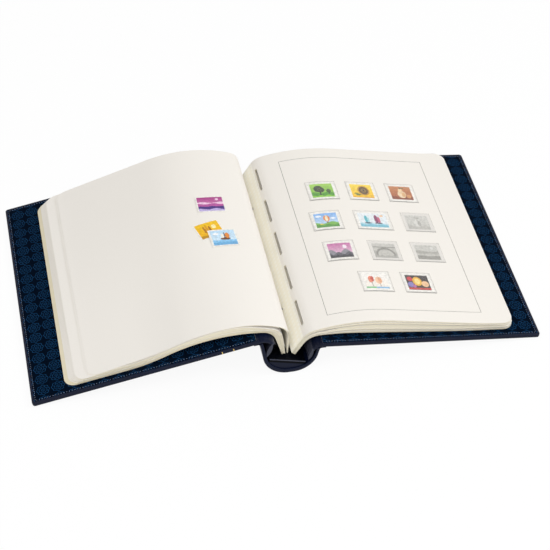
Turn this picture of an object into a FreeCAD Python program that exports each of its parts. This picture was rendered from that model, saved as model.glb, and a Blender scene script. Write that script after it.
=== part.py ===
import FreeCAD, Part
import math
import os

# Stamp album lying open: millimetres, spine along Y, +X to the right, +Z up, table at z = 0.

# Covers
cover_height = 317.0
cover_width = 241.0
skin_thick = 0.8
padding_thick = 1.4
board_thick = 2.2
lining_thick = 0.6
layer_corner = 2.2
hinge_gap = 2.0
layer_fit = 0.05
cover_thick = skin_thick + padding_thick + board_thick + lining_thick

# Hinge lines on the outer face of each cover, where the spine skin bends
front_hinge = (-32.1, 45.4)
back_hinge = (29.9, 29.4)
hinge_bead = 1.2

# Gold lines tooled on the front cover, measured from its hinge line
gold_line_places = (28.0, 40.0)
gold_line_width = 0.9
gold_line_thick = 0.06

# Spine skin: on each side a steep wall that rounds down to the table
spine_skin_thick = 1.2
left_wall = dict(angle=83.0, radius=27.0)
right_wall = dict(angle=81.0, radius=27.0)

# Bed of the spine, parallel to the line between the two hinges
bed_x = -4.3
bed_z = 12.5
bed_half_width = 19.5
bed_end_margin = 1.5
filler_fit = 0.3
spine_board_thick = 2.2
spine_lining_thick = 0.6

# Hinge flaps inside the spine, each with a rolled upper edge; pad is half the thickness at mid-height
flap_roll = 1.8
left_flap = dict(x=-25.8, z=24.5, lean=69.8, length=19.7, pad=2.2)
right_flap = dict(x=18.6, z=12.8, lean=70.0, length=14.4, pad=1.9)

# Binding: two turning bars cross the leaf stubs between two rails
plate_thick = 1.0
plate_length = 270.0
plate_left = -18.3
plate_right = 18.6
rail_thick = 1.2
rail_height = 9.2
left_rail_face = -11.8
right_rail_face = 14.5
bar_diameter = 4.4
bar_flat = 3.0
bar_height = 6.2
bar_spread = 170.0
bar_turn_fit = 0.3
bar_left_reach = 4.4
bar_right_reach = 4.2
bush_wall = 1.2
bush_flange = 0.7
bush_fit = 0.1
clip_width = 0.8
clip_rim = 1.2
clip_fit = 0.4
lever_thick = 1.8
lever_hub = 4.0
lever_length = 9.0
lever_tip = 2.0
lever_fit = 0.4
rivet_shank = 1.0
rivet_head = 1.4
rivet_head_height = 0.9
rivet_end_inset = 10.0
rivet_inner_place = 45.0

# Leaves
leaf_height = 297.0
leaf_width = 253.5
leaf_thick = 0.3
leaf_corner = 12.0
leaf_pitch = 0.9
leaf_rest_gap = 0.4
fold_gap = 0.3
fold_lift = 0.3
slot_count = 5
slot_pitch = 56.7
slot_length = 38.6
slot_width = 3.2
slot_station = 26.6

# How the lowest and the highest leaf on each side run from the binding to the fore-edge:
# landing is the share of the last drop that is rounded, spare is added to the leaf's width
left_low = dict(x=-8.1, z=18.5, lean=106.0, stub=23.2, bend_radius=16.0, bend=66.0,
                crown_radius=182.0, crown=32.0, landing=0.9, spare=0.0)
left_high = dict(x=-2.1, z=18.6, lean=85.3, stub=22.0, bend_radius=15.5, bend=72.6,
                 crown_radius=141.0, crown=40.0, landing=0.12, spare=0.0)
right_low = dict(x=6.1, z=14.8, lean=57.0, stub=16.0, bend_radius=20.0, bend=58.0,
                 crown_radius=285.0, crown=8.0, landing=0.06, spare=-4.0)
right_high = dict(x=2.4, z=18.2, lean=57.6, stub=21.5, bend_radius=20.1, bend=46.0,
                  crown_radius=195.0, crown=24.0, landing=0.17, spare=3.0)
left_fold_station = 47.0
right_fold_station = slot_station

# Left leaves lie in a tight stack with two loose ones arching over it, right leaves in two bundles
left_fans = [0.06 * step for step in range(9)] + [0.92, 1.0]
right_fans = [0.08 * step for step in range(6)] + [0.68 + 0.08 * step for step in range(5)]

# Stamp mounts on the printed leaf: centre along the leaf from its binding end, and centre along Y
mount_width = 34.8
mount_height = 33.0
wide_mount = 42.0
mount_film = 0.08
mount_room = 0.2
mount_weld = 1.2
mount_lift = 0.05
mount_rows = (70.2, 18.0, -34.2, -86.4)
first_row_columns = (92.4, 139.0, 186.0)
second_row_columns = (86.1, 139.8, 192.5)
third_row_columns = (90.1, 140.6, 190.0)
fourth_row_columns = (117.6, 165.1)
mount_columns = (first_row_columns, second_row_columns, third_row_columns, fourth_row_columns)
wide_mount_place = (1, 1)
empty_mounts = ((1, 2), (2, 1), (2, 2))
stamp_thick = 0.1
stamp_margin = 1.3

# Loose stamps on the blank leaf: centre along the leaf, centre along Y, width, height, turn and layer
loose_stamps = dict(
    loose_stamp_1=dict(along=81.5, y=50.0, width=32.0, height=27.5, turn=0.0, layer=0),
    loose_stamp_2=dict(along=90.0, y=6.8, width=30.0, height=27.5, turn=15.0, layer=0),
    loose_stamp_3=dict(along=76.8, y=-8.0, width=31.0, height=27.5, turn=4.0, layer=1),
)

y_axis = FreeCAD.Vector(0, 1, 0)
front_slope = math.degrees(math.asin(front_hinge[1] / cover_width))
back_slope = math.degrees(math.asin(back_hinge[1] / cover_width))
bed_tilt = math.degrees(math.atan2(front_hinge[1] - back_hinge[1], back_hinge[0] - front_hinge[0]))
plate_base = spine_board_thick + spine_lining_thick
plate_top = plate_base + plate_thick


def at(x, z, y=0.0):
    return FreeCAD.Vector(x, y, z)


# A box given by its two limits along x, y and z
def block(x_limits, y_limits, z_limits):
    size = [limits[1] - limits[0] for limits in (x_limits, y_limits, z_limits)]
    corner = FreeCAD.Vector(x_limits[0], y_limits[0], z_limits[0])
    return Part.makeBox(size[0], size[1], size[2], corner)


# A cylinder along x
def rod(radius, x_limits, y, z):
    length = x_limits[1] - x_limits[0]
    return Part.makeCylinder(radius, length, at(x_limits[0], z, y), FreeCAD.Vector(1, 0, 0))


# Turns a shape about the Y axis, sloping +X downwards, and moves the origin to a place
def placed(shape, x, z, slope):
    moved = shape.copy()
    moved.rotate(FreeCAD.Vector(0, 0, 0), y_axis, slope)
    moved.translate(at(x, z))
    return moved


# A path in the XZ plane: each piece is x, z, heading, length and turn, angles in radians
def trace(x, z, lean, steps):
    heading = math.radians(lean)
    pieces = []
    for length, turn_degrees in steps:
        piece = (x, z, heading, length, math.radians(turn_degrees))
        pieces.append(piece)
        end = point_on(piece, 1.0, 0.0)
        x, z = end.x, end.z
        heading += piece[4]
    return pieces


# The point at a share of a piece, moved sideways to the right of the path
def point_on(piece, share, offset):
    x, z, heading, length, turn = piece
    angle = heading + turn * share
    if turn:
        radius = length / turn
        x += radius * (math.sin(angle) - math.sin(heading))
        z -= radius * (math.cos(angle) - math.cos(heading))
    else:
        x += length * share * math.cos(heading)
        z += length * share * math.sin(heading)
    return at(x + offset * math.sin(angle), z - offset * math.cos(angle))


# The stretch of a path between two distances along it
def stretch(pieces, first, last):
    kept = []
    walked = 0.0
    for piece in pieces:
        length, turn = piece[3], piece[4]
        low = max(first - walked, 0.0)
        high = min(last - walked, length)
        if high - low > 1e-6:
            start = point_on(piece, low / length, 0.0)
            heading = piece[2] + turn * low / length
            kept.append((start.x, start.z, heading, high - low, turn * (high - low) / length))
        walked += length
    return kept


def edge_along(piece, offset):
    first = point_on(piece, 0.0, offset)
    last = point_on(piece, 1.0, offset)
    if piece[4]:
        return Part.Arc(first, point_on(piece, 0.5, offset), last).toShape()
    return Part.LineSegment(first, last).toShape()


# A sheet between two sideways offsets of a path, drawn out along Y
def band(pieces, near, far, y_limits):
    edges = [edge_along(piece, near) for piece in pieces]
    far_edges = [edge_along(piece, far) for piece in pieces]
    last_cap = Part.LineSegment(point_on(pieces[-1], 1.0, near), point_on(pieces[-1], 1.0, far))
    first_cap = Part.LineSegment(point_on(pieces[0], 0.0, far), point_on(pieces[0], 0.0, near))
    return drawn_out(edges + [last_cap.toShape()] + far_edges[::-1] + [first_cap.toShape()], y_limits)


# A closed outline in the XZ plane drawn out along Y
def drawn_out(edges, y_limits):
    wire = Part.Wire(Part.__sortEdges__(edges))
    wire.translate(FreeCAD.Vector(0, y_limits[0], 0))
    return Part.Face(wire).extrude(FreeCAD.Vector(0, y_limits[1] - y_limits[0], 0))


def both_ways(size):
    return (-size / 2.0, size / 2.0)


def save(name, shape):
    shape.exportStep("parts/" + name + ".step")


# Cover layers are drawn flat, hinge line at x = 0, outer face at z = 0

# A layer of a cover, set in from its edges, with its two fore-edge corners rounded
def cover_slab(first, inset, low, high):
    slab = block((first, cover_width - inset), both_ways(cover_height - 2 * inset), (low, high))
    corners = []
    for edge in slab.Edges:
        box = edge.BoundBox
        if box.XLength + box.YLength < 1e-6 and box.XMin > cover_width / 2.0:
            corners.append(edge)
    return slab.makeFillet(layer_corner + skin_thick + layer_fit - inset, corners)


def cover_skin():
    shell = cover_slab(hinge_gap, 0.0, 0.0, cover_thick)
    return shell.cut(cover_slab(0.0, skin_thick, skin_thick, cover_thick + skin_thick))


def cover_layers():
    layers = dict(skin=cover_skin())
    low = skin_thick
    for name, thick in (("padding", padding_thick), ("board", board_thick), ("lining", lining_thick)):
        layers[name] = cover_slab(hinge_gap, skin_thick + layer_fit, low, low + thick)
        low += thick
    return layers


def gold_lines():
    lines = []
    for place in gold_line_places:
        across = (place - gold_line_width / 2.0, place + gold_line_width / 2.0)
        outside = block(across, both_ways(cover_height + 2 * gold_line_thick),
                        (-gold_line_thick, cover_thick - lining_thick))
        lines.append(outside.cut(block(across, both_ways(cover_height), (0.0, cover_thick))))
    return Part.makeCompound(lines)


def on_front(shape):
    mirrored = shape.mirror(FreeCAD.Vector(0, 0, 0), FreeCAD.Vector(1, 0, 0))
    return placed(mirrored, front_hinge[0], front_hinge[1], -front_slope)


def on_back(shape):
    return placed(shape, back_hinge[0], back_hinge[1], back_slope)


# Half of the spine skin, from a hinge line down to the table, drawn towards +X
def spine_half(height, wall):
    steep = math.radians(wall["angle"])
    drop = height - wall["radius"] * (1.0 - math.cos(steep))
    return [(drop / math.sin(steep), 0.0), (wall["radius"] * steep, wall["angle"])]


# The outer line of the spine from the front hinge, under the bed, to the back hinge
def spine_path():
    left = spine_half(front_hinge[1], left_wall)
    right = spine_half(back_hinge[1], right_wall)
    left_end = point_on(trace(front_hinge[0], front_hinge[1], -left_wall["angle"], left)[-1], 1.0, 0.0)
    right_end = point_on(trace(-back_hinge[0], back_hinge[1], -right_wall["angle"], right)[-1], 1.0, 0.0)
    flat = -right_end.x - left_end.x
    return trace(front_hinge[0], front_hinge[1], -left_wall["angle"], left + [(flat, 0.0)] + right[::-1])


def spine_skin():
    skin = band(spine_path(), -spine_skin_thick, 0.0, both_ways(cover_height))
    for hinge in (front_hinge, back_hinge):
        start = at(hinge[0], hinge[1], -cover_height / 2.0)
        skin = skin.fuse(Part.makeCylinder(hinge_bead, cover_height, start, y_axis))
    return skin.removeSplitter()


def on_bed(shape):
    return placed(shape, bed_x, bed_z, bed_tilt)


# Soft filler between the rounded spine and the flat bed
def spine_filler():
    path = spine_path()
    inset = spine_skin_thick + filler_fit
    edges = [edge_along(piece, -inset) for piece in path]
    closing = Part.LineSegment(point_on(path[-1], 1.0, -inset), point_on(path[0], 0.0, -inset))
    trough = drawn_out(edges + [closing.toShape()], both_ways(cover_height - 2 * bed_end_margin))
    below = block(both_ways(2 * bed_half_width), both_ways(cover_height), (-cover_height, 0.0))
    return trough.common(on_bed(below))


def bed_layer(low, high):
    across = both_ways(2 * bed_half_width)
    return block(across, both_ways(cover_height - 2 * bed_end_margin), (low, high))


# A flap padded to a lens in section
def flap(place, length):
    run = trace(place["x"], place["z"], place["lean"], [(place["length"], 0.0)])[0]
    foot, top = point_on(run, 0.0, 0.0), point_on(run, 1.0, 0.0)
    middles = [point_on(run, 0.5, way * place["pad"]) for way in (-1, 1)]
    padding = drawn_out([Part.Arc(foot, middle, top).toShape() for middle in middles], both_ways(length))
    roll = Part.makeCylinder(flap_roll, length, at(top.x, top.z, -length / 2.0), y_axis)
    return padding.fuse(roll).removeSplitter()


# Pieces of the binding are drawn on a level bed, bars along x

def rivet_spots():
    left = (plate_left + left_rail_face - rail_thick) / 2.0
    right = (plate_right + right_rail_face + rail_thick) / 2.0
    end = plate_length / 2.0 - rivet_end_inset
    places = (-end, -rivet_inner_place, rivet_inner_place, end)
    return [(x, y) for x in (left, right) for y in places]


def rivet_holes():
    length = plate_top + rail_thick
    shanks = [Part.makeCylinder(rivet_shank, length, at(x, 0.0, y)) for x, y in rivet_spots()]
    return Part.makeCompound(shanks)


def rivets():
    solids = []
    for x, y in rivet_spots():
        shank = Part.makeCylinder(rivet_shank, plate_top + rail_thick, at(x, 0.0, y))
        head = Part.makeCylinder(rivet_head, rivet_head_height, at(x, plate_top + rail_thick, y))
        rim = [edge for edge in head.Edges if edge.BoundBox.ZMin > plate_top + rail_thick + 0.01]
        solids.append(shank.fuse(head.makeFillet(rivet_head_height * 0.6, rim[:1])))
    return Part.makeCompound(solids)


def bar_places():
    return dict(lower=-bar_spread / 2.0, upper=bar_spread / 2.0)


bar_z = plate_top + bar_height
bar_radius = bar_diameter / 2.0
bush_bore = bar_radius + bush_fit
bush_radius = bush_bore + bush_wall


# An angle rail: a foot riveted to the plate and a wall with a bearing hole for each bar
def rail(face, outwards, foot_edge):
    wall_limits = sorted((face, face + outwards * rail_thick))
    foot_limits = sorted((face, foot_edge))
    length = both_ways(plate_length)
    shape = block(wall_limits, length, (plate_top, plate_top + rail_height))
    shape = shape.fuse(block(foot_limits, length, (plate_top, plate_top + rail_thick)))
    for y in bar_places().values():
        shape = shape.cut(rod(bush_radius, (face - 2 * rail_thick, face + 2 * rail_thick), y, bar_z))
    return shape.cut(rivet_holes()).removeSplitter()


def bush(face, outwards, y):
    through = sorted((face, face + outwards * (rail_thick + bush_flange)))
    rim = sorted((face + outwards * rail_thick, face + outwards * (rail_thick + bush_flange)))
    ring = rod(bush_radius, through, y, bar_z).fuse(rod(bush_radius + bush_flange, rim, y, bar_z))
    return ring.cut(rod(bush_bore, (through[0] - 1.0, through[1] + 1.0), y, bar_z)).removeSplitter()


def bushes():
    rings = []
    for y in bar_places().values():
        rings.append(bush(left_rail_face, -1, y))
        rings.append(bush(right_rail_face, 1, y))
    return Part.makeCompound(rings)


# A round bar, flattened where it passes through the leaf stubs
def turn_bar(y):
    first = left_rail_face - bar_left_reach
    last = right_rail_face + bar_right_reach
    bar = rod(bar_radius, (first, last), y, bar_z)
    flat_limits = (left_rail_face + rail_thick, right_rail_face - rail_thick)
    across = (y - bar_diameter, y + bar_diameter)
    around = block(flat_limits, across, (bar_z - bar_diameter, bar_z + bar_diameter))
    core = block(flat_limits, across, (bar_z - bar_flat / 2.0, bar_z + bar_flat / 2.0))
    return bar.cut(around.cut(core))


def bar_clip(y):
    outer = left_rail_face - rail_thick - bush_flange - clip_fit
    limits = (outer - clip_width, outer)
    ring = rod(bar_radius + clip_rim, limits, y, bar_z)
    return ring.cut(rod(bar_radius, (limits[0] - 1.0, limits[1] + 1.0), y, bar_z))


def bar_lever(y):
    inner = right_rail_face + rail_thick + bush_flange + lever_fit
    limits = (inner, inner + lever_thick)
    hub = rod(lever_hub, limits, y, bar_z)
    arm = block(limits, (y - lever_tip, y + lever_tip), (bar_z, bar_z + lever_length))
    lever = hub.fuse(arm).fuse(rod(lever_tip, limits, y, bar_z + lever_length))
    return lever.removeSplitter().cut(rod(bar_radius, (limits[0] - 1.0, limits[1] + 1.0), y, bar_z))


# Keyholes in the leaf stubs: a round hole for each bar and a neck as wide as its flats
def keyholes():
    cuts = []
    reach = (plate_left, plate_right)
    for y in bar_places().values():
        hole = rod(bar_radius + bar_turn_fit, reach, y, bar_z)
        neck = bar_flat / 2.0 + bar_turn_fit
        cuts.append(hole.fuse(block(reach, (y - neck, y + neck), (plate_top, bar_z))))
    return on_bed(Part.makeCompound(cuts))


# Leaves: side is -1 on the left and 1 on the right, fan runs from the lowest leaf to the highest

def height_over_cover(point, side):
    hinge, slope = (front_hinge, front_slope) if side < 0 else (back_hinge, back_slope)
    angle = math.radians(slope)
    across = (point.x - hinge[0]) * side
    return across * math.sin(angle) + (point.z - hinge[1]) * math.cos(angle) - cover_thick


def leaf_path(side, fan, order):
    low, high = (left_low, left_high) if side < 0 else (right_low, right_high)
    run = {name: low[name] + (high[name] - low[name]) * fan for name in low}
    steps = [
        (run["stub"], 0.0),
        (run["bend_radius"] * math.radians(run["bend"]), -side * run["bend"]),
        (run["crown_radius"] * math.radians(run["crown"]), -side * run["crown"]),
    ]
    end = point_on(trace(run["x"], run["z"], run["lean"], steps)[-1], 1.0, 0.0)
    heading = run["lean"] - side * (run["bend"] + run["crown"])
    level = -back_slope if side > 0 else 180.0 + front_slope
    turn = math.radians(abs(level - heading))
    drop = height_over_cover(end, side) - leaf_rest_gap - order * leaf_pitch
    steps.append((drop * (1.0 - run["landing"]) / math.sin(turn), 0.0))
    steps.append((drop * run["landing"] / (1.0 - math.cos(turn)) * turn, level - heading))
    steps.append((leaf_width, 0.0))
    return stretch(trace(run["x"], run["z"], run["lean"], steps), 0.0, leaf_width + run["spare"])


# The offset of a leaf's upper face, to the right of its path on the left side
def upper(side, height):
    return -side * height


def leaf_paths(side):
    fans = left_fans if side < 0 else right_fans
    return [leaf_path(side, fan, order) for order, fan in enumerate(fans)]


# The fold line lies just above the highest leaf
def fold_place(side):
    station = left_fold_station if side < 0 else right_fold_station
    piece = stretch(leaf_paths(side)[-1], station, leaf_width)[0]
    return point_on(piece, 0.0, upper(side, leaf_thick + fold_lift)), piece[2]


# Half of space on the outer side of the fold, or on the binding side
def fold_side(side, moving):
    place, heading = fold_place(side)
    first = fold_gap / 2.0 if moving else -leaf_width
    last = leaf_width * 2 if moving else -fold_gap / 2.0
    half = block((first, last), both_ways(cover_height), both_ways(cover_height * 2))
    return placed(half, place.x, place.z, -math.degrees(heading))


# What is cut off a leaf's two outer corners to round them
def corner_cuts(piece, side):
    cuts = []
    end = point_on(piece, 1.0, upper(side, -1.0))
    heading = piece[2] + piece[4]
    back = at(-math.cos(heading), -math.sin(heading))
    rise = point_on(piece, 1.0, upper(side, leaf_thick + 1.0)) - end
    for way in (-1, 1):
        corner = end + y_axis * (way * leaf_height / 2.0)
        inwards = y_axis * -way
        along = corner + back * leaf_corner
        across = corner + inwards * leaf_corner
        middle = corner + (back + inwards) * (leaf_corner * (1.0 - math.sqrt(0.5)))
        edges = [
            Part.LineSegment(along, corner).toShape(),
            Part.LineSegment(corner, across).toShape(),
            Part.Arc(across, middle, along).toShape(),
        ]
        cuts.append(Part.Face(Part.Wire(edges)).extrude(rise))
    return Part.makeCompound(cuts)


# Round-ended slots that let the leaf bend near its binding
def slot_cuts(path):
    half = leaf_pitch
    piece = stretch(path, slot_station, leaf_width)[0]
    centre = point_on(piece, 0.0, 0.0)
    straight = (slot_length - slot_width) / 2.0
    cuts = []
    for step in range(slot_count):
        y = (step - (slot_count - 1) / 2.0) * slot_pitch
        slot = block(both_ways(slot_width), (y - straight, y + straight), (-half, half))
        for end in (y - straight, y + straight):
            slot = slot.fuse(Part.makeCylinder(slot_width / 2.0, 2 * half, at(0.0, -half, end)))
        cuts.append(placed(slot.removeSplitter(), centre.x, centre.z, -math.degrees(piece[2])))
    return Part.makeCompound(cuts)


def whole_leaf(path, side):
    leaf = band(path, 0.0, upper(side, leaf_thick), both_ways(leaf_height))
    return leaf.cut(corner_cuts(path[-1], side)).cut(slot_cuts(path))


def leaf_parts(side):
    holes = keyholes()
    outer_side = fold_side(side, True)
    inner_side = fold_side(side, False)
    leaves = [whole_leaf(path, side) for path in leaf_paths(side)]
    stubs = Part.makeCompound([leaf.common(inner_side).cut(holes) for leaf in leaves])
    return [leaf.common(outer_side) for leaf in leaves], stubs


# A thin sheet lying on a leaf: station and y of its centre, lift above the leaf, turn in its own plane
def sheet_on(path, side, station, y, size, lift, thick, turn):
    reach = math.hypot(size[0], size[1]) / 2.0
    pieces = stretch(path, station - reach, station + reach)
    near = upper(side, leaf_thick + lift)
    far = upper(side, leaf_thick + lift + thick)
    sheet = band(pieces, near, far, (y - reach, y + reach))
    outline = block(both_ways(size[0]), both_ways(size[1]), both_ways(2 * reach))
    outline.rotate(FreeCAD.Vector(0, 0, 0), FreeCAD.Vector(0, 0, 1), turn)
    outline.translate(FreeCAD.Vector(0, y, 0))
    middle = stretch(path, station, leaf_width)[0]
    heading = math.degrees(middle[2]) - (180.0 if side < 0 else 0.0)
    return sheet.common(placed(outline, middle[0], middle[1], -heading))


def mount_spots():
    spots = []
    for row, y in enumerate(mount_rows):
        for column, station in enumerate(mount_columns[row]):
            width = wide_mount if (row, column) == wide_mount_place else mount_width
            spots.append(((row, column), station, y, width))
    return spots


# A clear pocket, welded along its foot and open at the top and sides
def mount(path, station, y, width):
    half = mount_height / 2.0
    whole = (y - half, y + half)
    inside = (y - half + mount_weld, y + half + mount_weld)
    pieces = stretch(path, station - width / 2.0, station + width / 2.0)
    wider = stretch(path, station - width, station + width)
    low = leaf_thick + mount_lift
    pocket = band(pieces, upper(1, low), upper(1, low + mount_room + 2 * mount_film), whole)
    room = band(wider, upper(1, low + mount_film), upper(1, low + mount_film + mount_room), inside)
    return pocket.cut(room)


def mounted_stamp(path, station, y, width):
    lift = mount_lift + mount_film + (mount_room - stamp_thick) / 2.0
    size = (width - 2 * stamp_margin, mount_height - 2 * stamp_margin)
    return sheet_on(path, 1, station, y, size, lift, stamp_thick, 0.0)


def save_covers():
    layers = cover_layers()
    for name, shape in layers.items():
        save("front_cover_" + name, on_front(shape))
        save("back_cover_" + name, on_back(shape))
    save("front_gold_lines", on_front(gold_lines()))


def save_spine():
    save("spine_skin", spine_skin())
    save("spine_filler", spine_filler())
    board = bed_layer(0.0, spine_board_thick).cut(rivet_holes())
    lining = bed_layer(spine_board_thick, plate_base).cut(rivet_holes())
    save("spine_board", on_bed(board))
    save("spine_lining", on_bed(lining))
    flap_length = cover_height - 2 * bed_end_margin
    save("left_hinge_flap", flap(left_flap, flap_length))
    save("right_hinge_flap", flap(right_flap, flap_length))


def save_binding():
    plate = block((plate_left, plate_right), both_ways(plate_length), (plate_base, plate_top))
    save("base_plate", on_bed(plate.cut(rivet_holes())))
    save("left_rail", on_bed(rail(left_rail_face, -1, plate_left)))
    save("right_rail", on_bed(rail(right_rail_face, 1, plate_right)))
    save("rail_rivets", on_bed(rivets()))
    save("bar_bushes", on_bed(bushes()))
    for name, y in bar_places().items():
        save(name + "_turn_bar", on_bed(turn_bar(y)))
        save(name + "_bar_clip", on_bed(bar_clip(y)))
        save(name + "_bar_lever", on_bed(bar_lever(y)))


def save_leaves():
    for side, side_name, top_name in ((-1, "left", "blank_leaf"), (1, "right", "printed_leaf")):
        leaves, stubs = leaf_parts(side)
        for order, leaf in enumerate(leaves[:-1]):
            save("%s_leaf_%02d" % (side_name, order + 1), leaf)
        save(top_name, leaves[-1])
        save(side_name + "_leaf_stubs", stubs)


def save_stamps():
    path = leaf_paths(1)[-1]
    spots = mount_spots()
    save("stamp_mounts", Part.makeCompound([mount(path, *spot[1:]) for spot in spots]))
    filled = [spot for spot in spots if spot[0] not in empty_mounts]
    save("mounted_stamps", Part.makeCompound([mounted_stamp(path, *spot[1:]) for spot in filled]))
    blank_path = leaf_paths(-1)[-1]
    for name, stamp in loose_stamps.items():
        lift = mount_lift + stamp["layer"] * (stamp_thick + mount_lift)
        size = (stamp["width"], stamp["height"])
        shape = sheet_on(blank_path, -1, stamp["along"], stamp["y"], size, lift, stamp_thick, stamp["turn"])
        save(name, shape)


def print_joint_lines():
    for side, name in ((-1, "left"), (1, "right")):
        place = fold_place(side)[0]
        print("%s fold line at x %.3f z %.3f" % (name, place.x, place.z))
    bar = on_bed(Part.Vertex(at(0.0, bar_z))).Point
    print("bar axis through x %.3f z %.3f, sloping %.3f degrees" % (bar.x, bar.z, bed_tilt))


os.makedirs("parts", exist_ok=True)
save_covers()
save_spine()
save_binding()
save_leaves()
save_stamps()
print_joint_lines()
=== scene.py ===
import bmesh
import bpy
from math import asin, atan2, copysign, cos, pi, radians, sin, sqrt
from mathutils import Matrix, Vector


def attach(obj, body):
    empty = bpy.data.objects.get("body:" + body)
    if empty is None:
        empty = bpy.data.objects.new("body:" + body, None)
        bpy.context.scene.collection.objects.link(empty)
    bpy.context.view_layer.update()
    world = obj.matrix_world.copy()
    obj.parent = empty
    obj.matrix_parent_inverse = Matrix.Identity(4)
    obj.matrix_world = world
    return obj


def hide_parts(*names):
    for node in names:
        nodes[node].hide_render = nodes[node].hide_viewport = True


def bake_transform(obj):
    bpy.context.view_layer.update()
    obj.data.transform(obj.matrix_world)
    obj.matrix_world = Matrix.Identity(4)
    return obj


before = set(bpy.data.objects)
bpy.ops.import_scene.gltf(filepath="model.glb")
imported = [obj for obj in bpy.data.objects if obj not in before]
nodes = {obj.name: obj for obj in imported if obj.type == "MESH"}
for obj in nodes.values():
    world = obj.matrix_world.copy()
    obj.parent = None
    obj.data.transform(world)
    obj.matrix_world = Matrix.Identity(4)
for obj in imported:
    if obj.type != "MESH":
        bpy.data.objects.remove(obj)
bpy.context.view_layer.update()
scene = bpy.context.scene
print("frame loaded:", len(nodes), "nodes")

# Everything is modelled in millimetres and scaled to metres when a piece is made
metre = 0.001
touch = 0.01  # places closer than this count as one
sharpAngle = 35  # edges that turn by more than this many degrees aren't smoothed over
paperDepth = 0.1 * metre  # how deep the grain of paper and linen goes
covers = {
    "height": 317.0, "width": 241.0, "thick": 5.0, "hingeGap": 2.0, "corner": 3.05,
    "front": {"side": -1, "hinge": (-32.1, 45.4), "body": "front_cover"},
    "back": {"side": 1, "hinge": (29.9, 29.4), "body": "back_cover"},
}
for cover in (covers["front"], covers["back"]):
    cover["slope"] = asin(cover["hinge"][1] / covers["width"])


# Helpers for nodes and materials

def hexLinear(text):  # an sRGB hex value as a linear colour
    parts = [int(text[place:place + 2], 16) / 255 for place in (1, 3, 5)]
    return [part / 12.92 if part <= 0.04045 else ((part + 0.055) / 1.055) ** 2.4 for part in parts] + [1.0]


def setInputs(tree, node, inputs):  # links a node or a socket, and sets any other value, a hex text as its colour
    for key, value in inputs.items():
        if isinstance(value, bpy.types.Node):
            value = value.outputs[0]
        if isinstance(value, bpy.types.NodeSocket):
            tree.links.new(value, node.inputs[key])
        else:
            node.inputs[key].default_value = hexLinear(value) if isinstance(value, str) else value


def addNode(tree, kind, inputs, **settings):
    node = tree.nodes.new("ShaderNode" + kind)
    for name, value in settings.items():
        setattr(node, name, value)
    setInputs(tree, node, inputs)
    return node


def startMaterial(name):  # a new material with its nodes, its shader and the piece's own coordinates
    material = bpy.data.materials.new(name)
    material.use_nodes = True
    tree = material.node_tree
    return material, tree, tree.nodes["Principled BSDF"], addNode(tree, "TexCoord", {}).outputs["Object"]


def sized(place, size, **more):  # the inputs of a texture whose cells are this many millimetres wide
    return {"Vector": place, "Scale": 1.0 / (size * metre), **more}


# Leatherette: coated cloth pressed with a fine pebble grain, dark navy, a soft gloss that breaks up on the grain
pebble = {"size": 1.1, "cloud": 35.0, "least": 0.3, "most": 0.42, "strength": 0.35, "depth": 0.4}


def makeLeatherette(name, dark, light, level):
    material, tree, shader, place = startMaterial(name)
    grain = addNode(tree, "TexVoronoi", sized(place, pebble["size"]), feature="SMOOTH_F1")
    cloud = addNode(tree, "TexNoise", sized(place, pebble["cloud"], Detail=4.0))
    colour = addNode(tree, "Mix", {0: cloud, 6: dark, 7: light}, data_type="RGBA")
    gloss = addNode(tree, "MapRange", {0: cloud, 3: pebble["least"], 4: pebble["most"]})
    bump = addNode(tree, "Bump", {"Height": grain, "Strength": pebble["strength"],
                                  "Distance": pebble["depth"] * metre}, invert=True)
    setInputs(tree, shader, {"Base Color": colour.outputs[2], "Roughness": gloss, "Normal": bump,
                             "Specular IOR Level": level})
    return material


# Cover lining: matt woven damask, a nearly black navy ground with rosettes of thin blue lines, each thread a fleck
damask = {"repeat": 15.85, "edgeToRosette": 13.5, "petals": 8.0, "thread": 1.3, "strength": 0.3, "depth": 0.2,
          "rings": ((0.41, 0.03, 0.018), (0.26, -0.035, 0.018), (0.1, 0.03, 0.018)),
          "dark": "#020509", "light": "#051428", "figure": "#245A8C"}


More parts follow.
